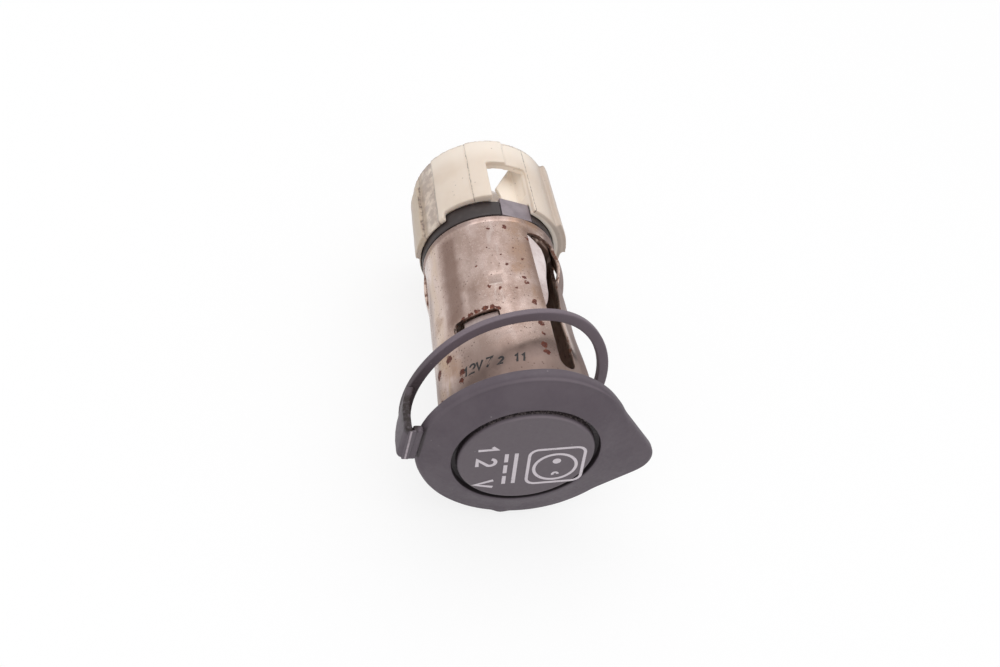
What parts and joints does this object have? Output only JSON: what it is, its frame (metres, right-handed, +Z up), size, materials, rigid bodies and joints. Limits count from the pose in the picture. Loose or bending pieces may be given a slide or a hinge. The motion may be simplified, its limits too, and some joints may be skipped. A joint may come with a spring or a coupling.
{
  "type": "car 12 volt power socket",
  "caption": "Vehicle power socket: tapered slotted metal shell, black base, cream rear connector housing and a grey tethered cap with a pull tab.",
  "frame": {"origin": "on the shell's axis, in the plane of the mouth flange's rear face, which seats on the trim panel", "axes": "+Y along the shell's axis towards the rear connector, +X towards the cap's pull tab, +Z up, the cap's hinge at -X"},
  "size_m": [0.0422, 0.0602, 0.0362],
  "materials": {
    "plated_steel": "tin plated steel, stained and lightly rusted",
    "black_moulding": "moulded matt",
    "fibre": "pressed fibre",
    "contact_brass": "dull",
    "terminal_tin": "tin plated, matt",
    "cream_nylon": "aged natural nylon, satin",
    "grey_elastomer": "matt moulded, lightly dusty"
  },
  "bodies": {
    "socket": {"barrel_shell": "plated_steel", "base_insulator": "black_moulding", "fibre_washer": "fibre", "centre_contact": "contact_brass", "centre_rivet": "contact_brass", "rear_washer": "terminal_tin", "positive_terminal": "terminal_tin", "earth_strip": "terminal_tin", "connector_housing": "cream_nylon", "cap_strap": "grey_elastomer"},
    "cap": {"cap": "grey_elastomer"}
  },
  "joints": [
    {"name": "cap_hinge", "type": "hinge", "parent": "socket", "child": "cap", "pos_m": [-0.01875, -0.0031, 0], "axis": [0, 0, -1], "range_deg": [0, 165]}
  ]
}
